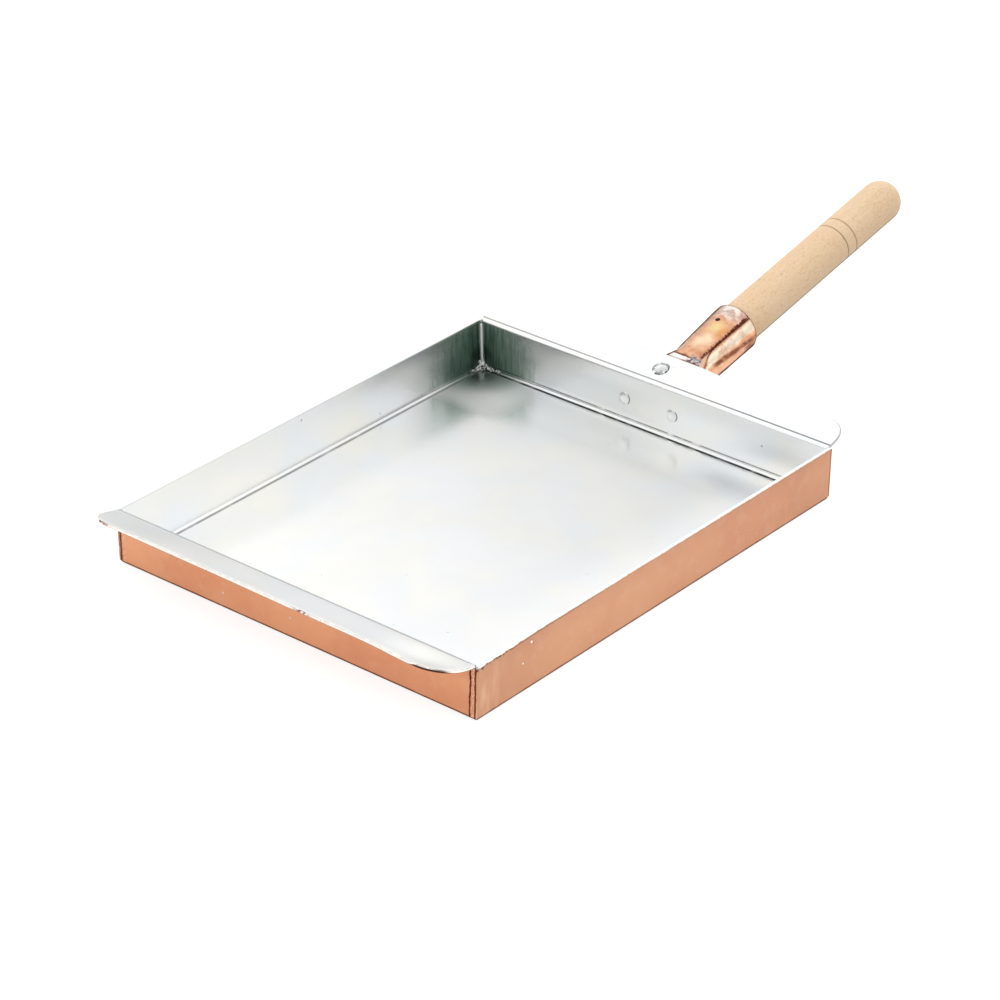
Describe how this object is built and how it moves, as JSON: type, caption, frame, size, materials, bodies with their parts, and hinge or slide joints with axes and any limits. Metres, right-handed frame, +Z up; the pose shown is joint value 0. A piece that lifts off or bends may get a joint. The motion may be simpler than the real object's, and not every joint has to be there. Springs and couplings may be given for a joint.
{
  "type": "tamagoyaki pan",
  "caption": "Rectangular copper omelette pan, tinned inside, with a flared flange at each end and a turned wooden grip in a riveted copper socket.",
  "frame": {"origin": "middle of the flat underside, which rests on the hob", "axes": "+Z up, +Y along the pan from the front flange to the grip, +X to the right when looking along +Y"},
  "size_m": [0.195, 0.4329, 0.0604],
  "materials": {
    "copper": "satin copper sheet with a fine grain",
    "tinned_copper": "copper rivets, tinned over",
    "tin": "wiped tin, satin, pale grey",
    "solder": "bright, lumpy solder",
    "wood": "fine-grained pale hardwood, smooth, thin clear finish",
    "nail": "plain steel nail, dull"
  },
  "bodies": {
    "root": {"pan_sheet": "copper", "handle_socket": "copper", "wall_rivets": "tinned_copper", "flange_rivet": "tinned_copper", "tin_lining": "tin", "corner_solder": "solder", "wooden_grip": "wood", "handle_nail": "nail"}
  },
  "joints": []
}
